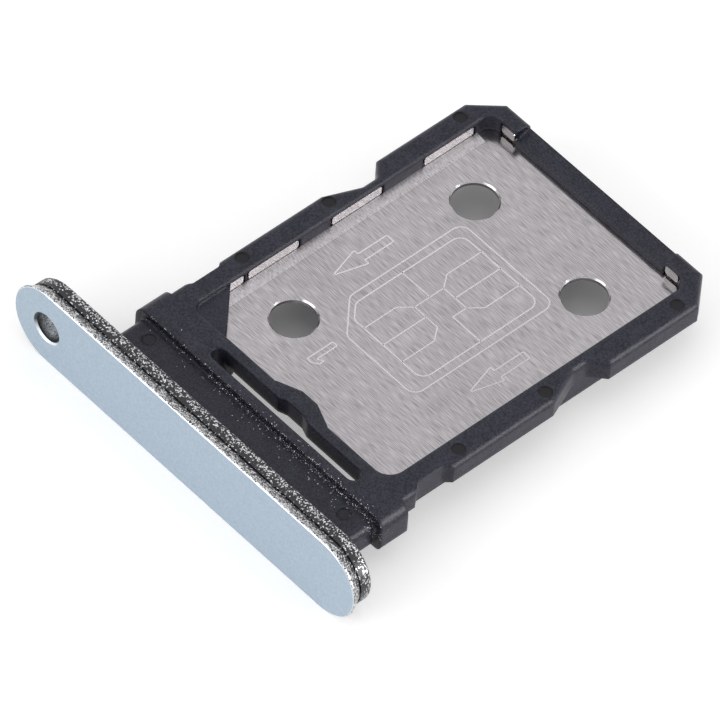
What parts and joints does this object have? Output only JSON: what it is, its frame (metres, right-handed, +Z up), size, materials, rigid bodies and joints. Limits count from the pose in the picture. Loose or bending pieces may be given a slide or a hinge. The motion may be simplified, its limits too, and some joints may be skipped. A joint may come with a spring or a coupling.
{
  "type": "sim card tray",
  "caption": "Thin phone card tray with a rounded painted end cap, an eject hole, a notched moulded frame and a stamped metal card plate.",
  "frame": {"origin": "middle of the tray's box seen from above, at the height of the cap's lowest line", "axes": "+Y along the tray from the end cap to the back bar, +Z up out of the upper card pocket, +X to the right seen from the cap"},
  "size_m": [0.0154, 0.0166, 0.003],
  "materials": {
    "cap_paint": "satin ice blue face, with a black flaked finish on its sides",
    "frame_plastic": "fine satin moulded",
    "plate_steel": "brushed across the tray, with thin laser marks"
  },
  "bodies": {
    "root": {"front_cap": "cap_paint", "tray_frame": "frame_plastic", "card_plate": "plate_steel"}
  },
  "joints": []
}
